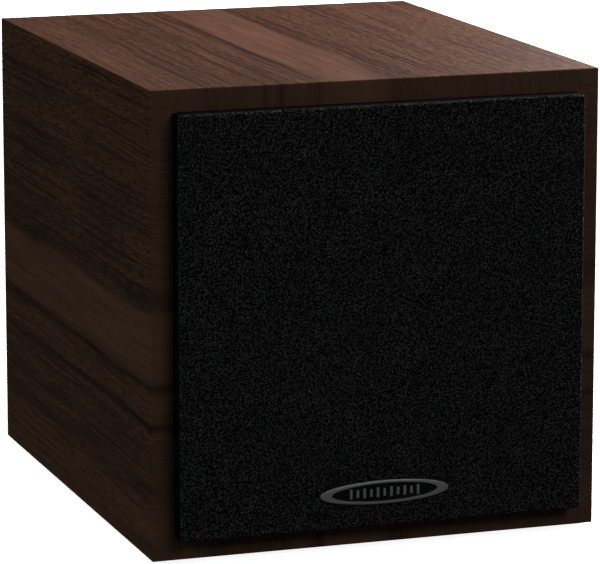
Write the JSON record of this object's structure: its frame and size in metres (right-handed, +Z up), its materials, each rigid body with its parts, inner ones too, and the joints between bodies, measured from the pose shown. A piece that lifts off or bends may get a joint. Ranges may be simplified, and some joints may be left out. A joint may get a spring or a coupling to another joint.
{
  "type": "bookshelf speaker",
  "caption": "Small powered cube speaker in a dark walnut wrap, with a push-fit cloth grille over a full-range driver and an amplifier plate let into the back.",
  "frame": {"origin": "on the floor under the middle of the cabinet, which is also the middle of the whole object's footprint", "axes": "+X to the right as seen from the front, +Y from the grille to the back, +Z up"},
  "size_m": [0.172, 0.223, 0.174],
  "materials": {
    "walnut_wrap": "satin, grain along the depth",
    "black_board": "matt black paint on fibreboard",
    "grille_cloth": "matt black acoustic cloth",
    "badge_metal": "satin",
    "badge_black": "gloss",
    "black_plastic": "fine moulded texture",
    "rubber": "matt",
    "foam": "open foam",
    "cone_paper": "pressed pulp, dyed black",
    "black_steel": "black lacquer",
    "plated_steel": "zinc plated",
    "black_aluminium": "black, fine texture",
    "ferrite": "sintered",
    "copper_wire": "enamelled copper",
    "spider_cloth": "impregnated cotton",
    "wadding": "loose polyester fibre",
    "phenolic": "pressed laminate",
    "lead_red": "satin insulation",
    "lead_black": "satin insulation",
    "circuit_board": "solder resist",
    "winding_tape": "polyester tape",
    "capacitor_sleeve": "heat-shrunk sleeve",
    "light_lens": "clear blue"
  },
  "bodies": {
    "cabinet": {"cabinet_top_panel": "walnut_wrap", "cabinet_bottom_panel": "walnut_wrap", "cabinet_left_panel": "walnut_wrap", "cabinet_right_panel": "walnut_wrap", "front_baffle": "black_board", "rear_panel": "black_board", "rubber_foot_1": "rubber", "rubber_foot_2": "rubber", "rubber_foot_3": "rubber", "rubber_foot_4": "rubber", "grille_socket_1": "rubber", "grille_socket_2": "rubber", "grille_socket_3": "rubber", "grille_socket_4": "rubber", "cone_surround": "rubber", "driver_foam_seal": "foam", "driver_gasket_ring": "foam", "amp_plate_gasket": "foam", "driver_basket": "black_steel", "driver_screw_1": "black_steel", "driver_screw_2": "black_steel", "driver_screw_3": "black_steel", "driver_screw_4": "black_steel", "plate_screw_1": "black_steel", "plate_screw_2": "black_steel", "plate_screw_3": "black_steel", "plate_screw_4": "black_steel", "magnet_top_plate": "plated_steel", "magnet_yoke": "plated_steel", "magnet_shield_can": "plated_steel", "volume_pot": "plated_steel", "line_input_jack": "plated_steel", "amp_plate": "black_aluminium", "heatsink": "black_aluminium", "magnet_ring": "ferrite", "spider": "spider_cloth", "damping_wadding": "wadding", "terminal_strip": "phenolic", "speaker_lead_red": "lead_red", "speaker_lead_black": "lead_black", "amp_board": "circuit_board", "transformer": "winding_tape", "capacitor_1": "capacitor_sleeve", "capacitor_2": "capacitor_sleeve", "combo_jack": "black_plastic", "mains_inlet": "black_plastic", "switch_housing": "black_plastic", "power_light": "light_lens"},
    "grille": {"grille_frame": "black_board", "grille_cloth": "grille_cloth", "badge_ring": "badge_metal", "badge_inlay": "badge_black"},
    "moving_cone": {"speaker_cone": "cone_paper", "dust_cap": "cone_paper", "voice_coil_former": "phenolic", "voice_coil": "copper_wire"},
    "volume_control": {"volume_knob": "black_plastic"},
    "power_rocker": {"switch_rocker": "black_plastic"},
    "jack_latch": {"jack_latch_tab": "plated_steel"},
    "fuse_tray": {"fuse_drawer": "black_plastic"}
  },
  "joints": [
    {"name": "grille_pull", "type": "slide", "parent": "cabinet", "child": "grille", "axis": [0, -1, 0], "range_m": [0, 0.06]},
    {"name": "cone_travel", "type": "slide", "parent": "cabinet", "child": "moving_cone", "axis": [0, 1, 0], "range_m": [-0.003, 0.003], "stiffness_N_per_m": 1200, "deforming": ["cone_surround", "spider"]},
    {"name": "volume_turn", "type": "hinge", "parent": "cabinet", "child": "volume_control", "pos_m": [0.046, 0.1, 0.08], "axis": [0, -1, 0], "range_deg": [-150, 150]},
    {"name": "power_switch", "type": "hinge", "parent": "cabinet", "child": "power_rocker", "pos_m": [-0.025, 0.0955, 0.046], "axis": [1, 0, 0], "range_deg": [0, 20]},
    {"name": "latch_press", "type": "slide", "parent": "cabinet", "child": "jack_latch", "axis": [0, -1, 0], "range_m": [0, 0.002], "stiffness_N_per_m": 400},
    {"name": "fuse_drawer_pull", "type": "slide", "parent": "cabinet", "child": "fuse_tray", "axis": [0, 1, 0], "range_m": [0, 0.014]}
  ]
}
